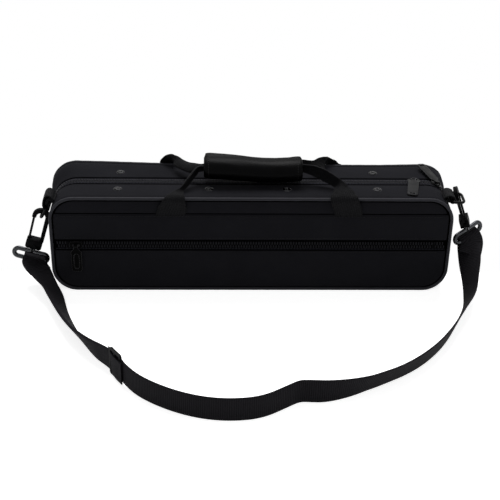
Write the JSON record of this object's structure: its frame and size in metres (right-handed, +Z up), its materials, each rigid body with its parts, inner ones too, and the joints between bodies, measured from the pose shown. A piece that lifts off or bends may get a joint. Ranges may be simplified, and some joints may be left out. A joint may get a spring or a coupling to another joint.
{
  "type": "flute case",
  "caption": "Long soft-covered instrument case with a hinged zip-closed lid, front pocket, wrapped carrying handle and a shoulder strap on snap hooks.",
  "frame": {"origin": "middle of the underside", "axes": "+X along the case, -Y towards the pocket side, +Z up to the handle"},
  "size_m": [0.5033, 0.3095, 0.1384],
  "materials": {
    "woven_nylon": "black woven nylon cloth over foam",
    "nylon_webbing": "black ribbed webbing",
    "piping_cord": "black cloth-covered piping",
    "zip_cloth": "black zip tape",
    "zip_teeth": "black nylon coil",
    "rigid_board": "grey stiffening board",
    "plush": "dark plush lining over foam",
    "handle_leather": "smooth black imitation leather",
    "black_metal": "black painted zinc",
    "rivet_metal": "gunmetal rivets",
    "hook_plastic": "black moulded hook"
  },
  "bodies": {
    "front_half": {"front_core": "rigid_board", "front_cover": "woven_nylon", "front_lining": "plush", "lid_pad": "plush", "front_piping": "piping_cord", "front_zip_tape": "zip_cloth", "front_zip_coil": "zip_teeth", "front_hinge_cloth": "zip_cloth", "pocket_upper_panel": "woven_nylon", "pocket_lower_panel": "woven_nylon", "pocket_zip_tape": "zip_cloth", "pocket_zip_coil": "zip_teeth", "zip_stops": "black_metal", "front_rivets": "rivet_metal", "front_handle_webbing": "nylon_webbing", "handle_wrap": "handle_leather", "left_ring_tab": "nylon_webbing", "right_ring_tab": "nylon_webbing", "left_hook_body": "black_metal", "right_hook_body": "black_metal", "left_strap_frame": "hook_plastic", "right_strap_frame": "hook_plastic", "strap_long_run": "nylon_webbing", "strap_doubled_run": "nylon_webbing", "strap_buckle": "hook_plastic"},
    "back_half": {"back_core": "rigid_board", "back_cover": "woven_nylon", "back_lining": "plush", "back_piping": "piping_cord", "back_zip_tape": "zip_cloth", "back_zip_coil": "zip_teeth", "back_hinge_cloth": "zip_cloth", "back_rivets": "rivet_metal", "back_handle_webbing": "nylon_webbing", "instrument_bed": "plush"},
    "top_slider": {"top_slider": "black_metal"},
    "top_pull": {"top_pull": "black_metal"},
    "corner_slider": {"corner_slider": "black_metal"},
    "corner_pull": {"corner_pull": "black_metal"},
    "pocket_slider": {"pocket_slider": "black_metal"},
    "pocket_pull": {"pocket_pull": "black_metal"},
    "left_d_ring": {"left_d_ring": "black_metal"},
    "right_d_ring": {"right_d_ring": "black_metal"},
    "left_hook_gate": {"left_hook_gate": "black_metal"},
    "right_hook_gate": {"right_hook_gate": "black_metal"}
  },
  "joints": [
    {"name": "case_hinge", "type": "hinge", "parent": "front_half", "child": "back_half", "pos_m": [0, 0, 0.001], "axis": [-1, 0, 0], "range_deg": [0, 95]},
    {"name": "top_slider_run", "type": "slide", "parent": "front_half", "child": "top_slider", "axis": [-1, 0, 0], "range_m": [0, 0.344]},
    {"name": "top_pull_swing", "type": "hinge", "parent": "top_slider", "child": "top_pull", "pos_m": [0.172, 0, 0.1123], "axis": [-1, 0, 0], "range_deg": [0, 170]},
    {"name": "corner_slider_run", "type": "hinge", "parent": "front_half", "child": "corner_slider", "pos_m": [0.1832, 0, 0.0832], "axis": [0, 1, 0], "range_deg": [0, 60]},
    {"name": "corner_pull_swing", "type": "hinge", "parent": "corner_slider", "child": "corner_pull", "pos_m": [0.19775, 0, 0.1084], "axis": [0.866, 0, -0.5], "range_deg": [0, 80]},
    {"name": "pocket_slider_run", "type": "slide", "parent": "front_half", "child": "pocket_slider", "axis": [1, 0, 0], "range_m": [0, 0.365]},
    {"name": "pocket_pull_swing", "type": "hinge", "parent": "pocket_slider", "child": "pocket_pull", "pos_m": [-0.183, -0.0438, 0.055], "axis": [-1, 0, 0], "range_deg": [0, 150]},
    {"name": "left_ring_swing", "type": "hinge", "parent": "front_half", "child": "left_d_ring", "pos_m": [-0.21259, -0.022, 0.09135], "axis": [0, 1, 0], "range_deg": [-9, 2.5]},
    {"name": "right_ring_swing", "type": "hinge", "parent": "front_half", "child": "right_d_ring", "pos_m": [0.20925, -0.022, 0.10213], "axis": [0, 1, 0], "range_deg": [-2.5, 10]},
    {"name": "left_gate_swing", "type": "hinge", "parent": "front_half", "child": "left_hook_gate", "pos_m": [-0.23492, -0.022, 0.0505], "axis": [0, -1, 0], "range_deg": [-20, 0], "stiffness_Nm_per_rad": 0.02, "springref_deg": 17.19},
    {"name": "right_gate_swing", "type": "hinge", "parent": "front_half", "child": "right_hook_gate", "pos_m": [0.22672, -0.0167, 0.07002], "axis": [-0.9254, 0.1736, -0.3368], "range_deg": [0, 20], "stiffness_Nm_per_rad": 0.02, "springref_deg": -17.19}
  ]
}
